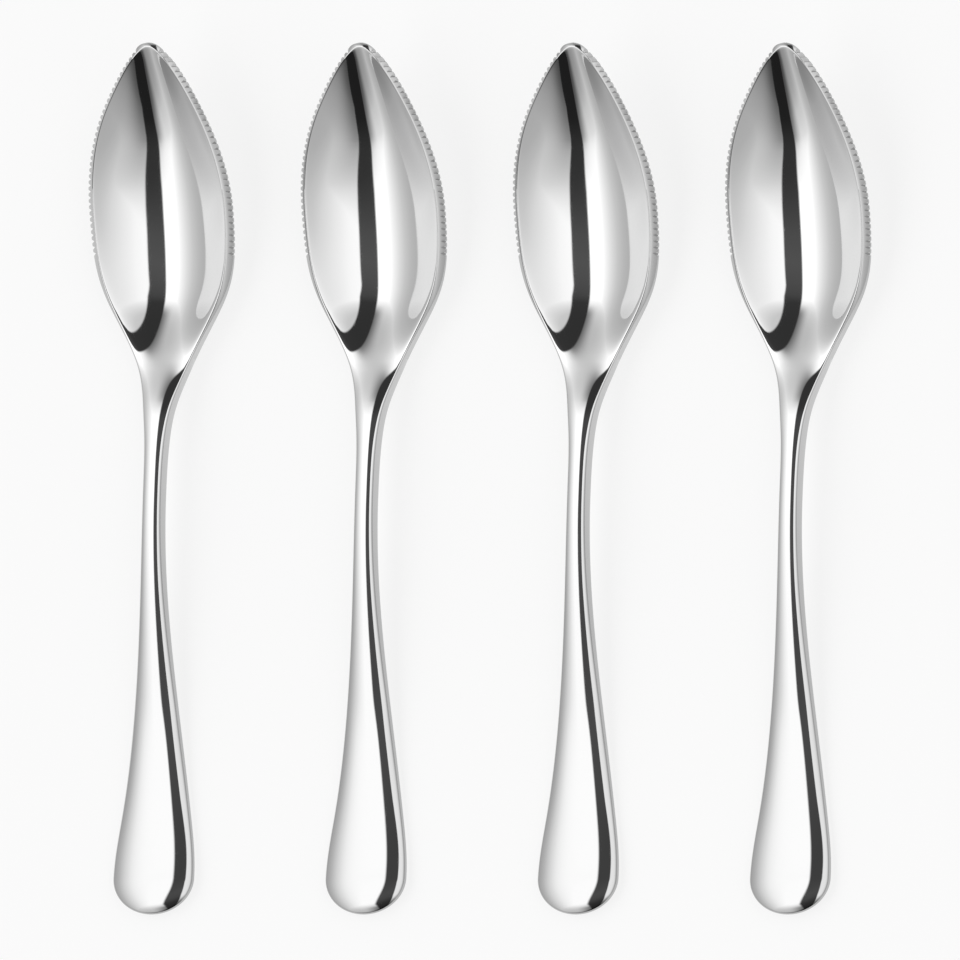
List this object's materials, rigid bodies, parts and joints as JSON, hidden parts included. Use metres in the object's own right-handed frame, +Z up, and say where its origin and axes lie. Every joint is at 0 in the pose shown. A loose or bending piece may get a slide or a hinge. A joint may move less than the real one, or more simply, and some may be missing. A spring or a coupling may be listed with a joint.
{
  "type": "grapefruit spoon set",
  "caption": "Set of polished steel grapefruit spoons, each with a pointed leaf-shaped bowl, toothed rim, slim neck and drop-shaped handle, for cutting out and eating citrus segments.",
  "frame": {"origin": "on the table, under the centre of the set's bounding box", "axes": "+X to the right across the row of spoons, +Y along the spoons towards the tips of the bowls, +Z up, the way the bowls open"},
  "size_m": [0.1622, 0.165, 0.0175],
  "materials": {
    "polished_steel": "mirror-polished stainless steel with fine wear scratches"
  },
  "bodies": {
    "spoon_1": {"spoon_1": "polished_steel"},
    "spoon_2": {"spoon_2": "polished_steel"},
    "spoon_3": {"spoon_3": "polished_steel"},
    "spoon_4": {"spoon_4": "polished_steel"}
  },
  "joints": [
    {"name": "spoon_2_lift", "type": "slide", "parent": "spoon_1", "child": "spoon_2", "axis": [0, 0, 1], "range_m": [0, 0.1]},
    {"name": "spoon_3_lift", "type": "slide", "parent": "spoon_1", "child": "spoon_3", "axis": [0, 0, 1], "range_m": [0, 0.1]},
    {"name": "spoon_4_lift", "type": "slide", "parent": "spoon_1", "child": "spoon_4", "axis": [0, 0, 1], "range_m": [0, 0.1]}
  ]
}
